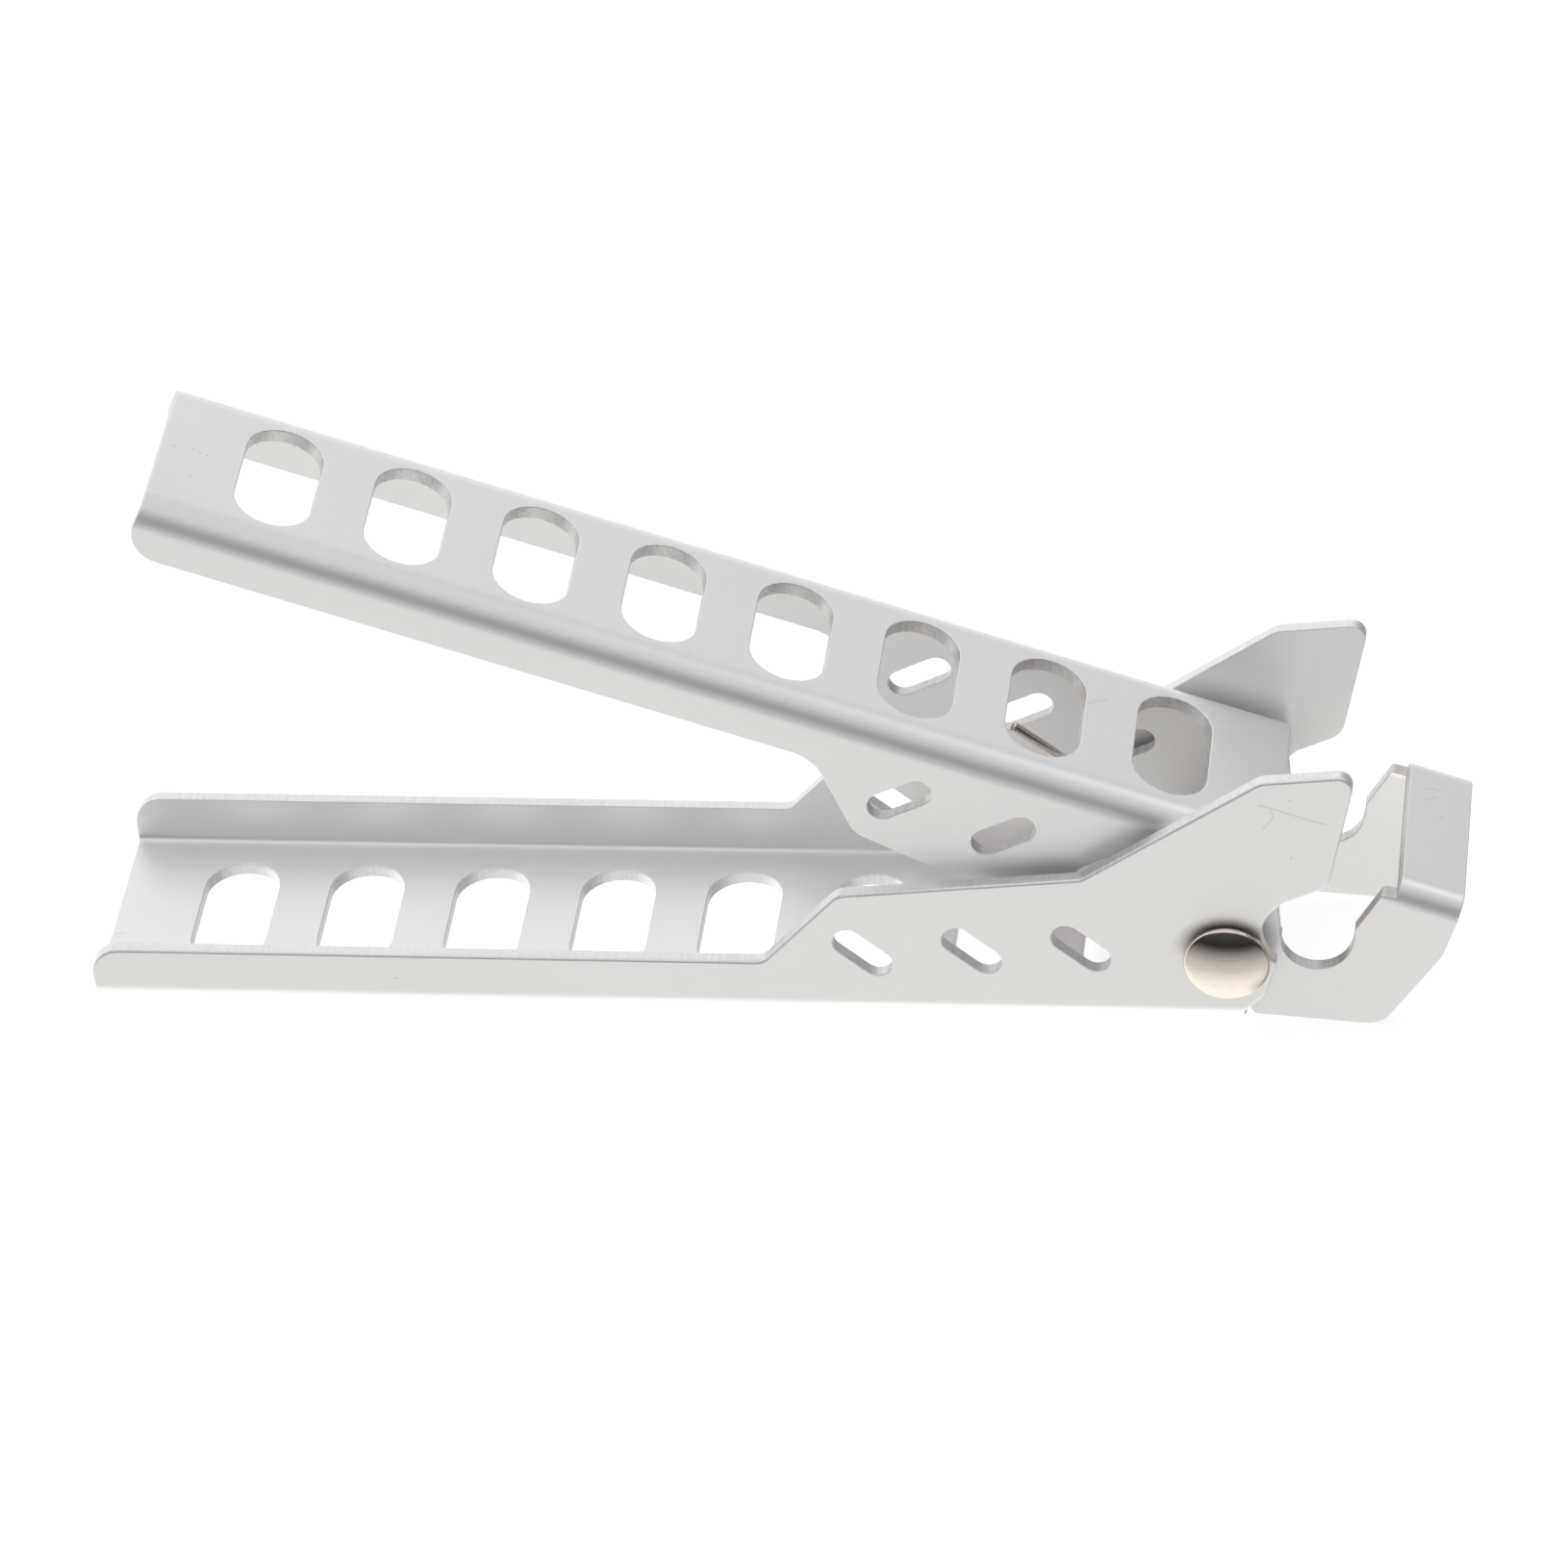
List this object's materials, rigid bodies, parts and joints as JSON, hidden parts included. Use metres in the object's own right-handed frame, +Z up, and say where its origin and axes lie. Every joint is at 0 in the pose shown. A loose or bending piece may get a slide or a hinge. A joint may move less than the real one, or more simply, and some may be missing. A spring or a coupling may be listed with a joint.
{
  "type": "pot gripper",
  "caption": "Sprung hand tool of two perforated sheet-metal levers on one rivet; a pot's rim goes between the jaw and the nose.",
  "frame": {"origin": "centre of the bounding box, on the table that the open tool stands on", "axes": "+X from the handles to the nose, +Y across the levers along the rivet, +Z up"},
  "size_m": [0.1416, 0.0322, 0.0609],
  "materials": {
    "lower_sheet": "satin brushed, clear anodised",
    "upper_sheet": "satin brushed, clear anodised",
    "rivet": "polished nickel plate",
    "plain_steel": "plain turned steel",
    "spring_wire": "bright drawn spring wire"
  },
  "bodies": {
    "lower": {"lower_lever": "lower_sheet", "pivot_rivet": "rivet", "rivet_cap": "rivet", "spacer_sleeve": "plain_steel", "washer_near": "plain_steel", "washer_far": "plain_steel", "torsion_spring": "spring_wire"},
    "upper": {"upper_lever": "upper_sheet"}
  },
  "joints": [
    {"name": "lever_hinge", "type": "hinge", "parent": "lower", "child": "upper", "pos_m": [0.0469, 0, 0.00923], "axis": [0, -1, 0], "range_deg": [0, 26], "stiffness_Nm_per_rad": 0.075, "springref_deg": -14.32, "deforming": ["torsion_spring"]}
  ]
}
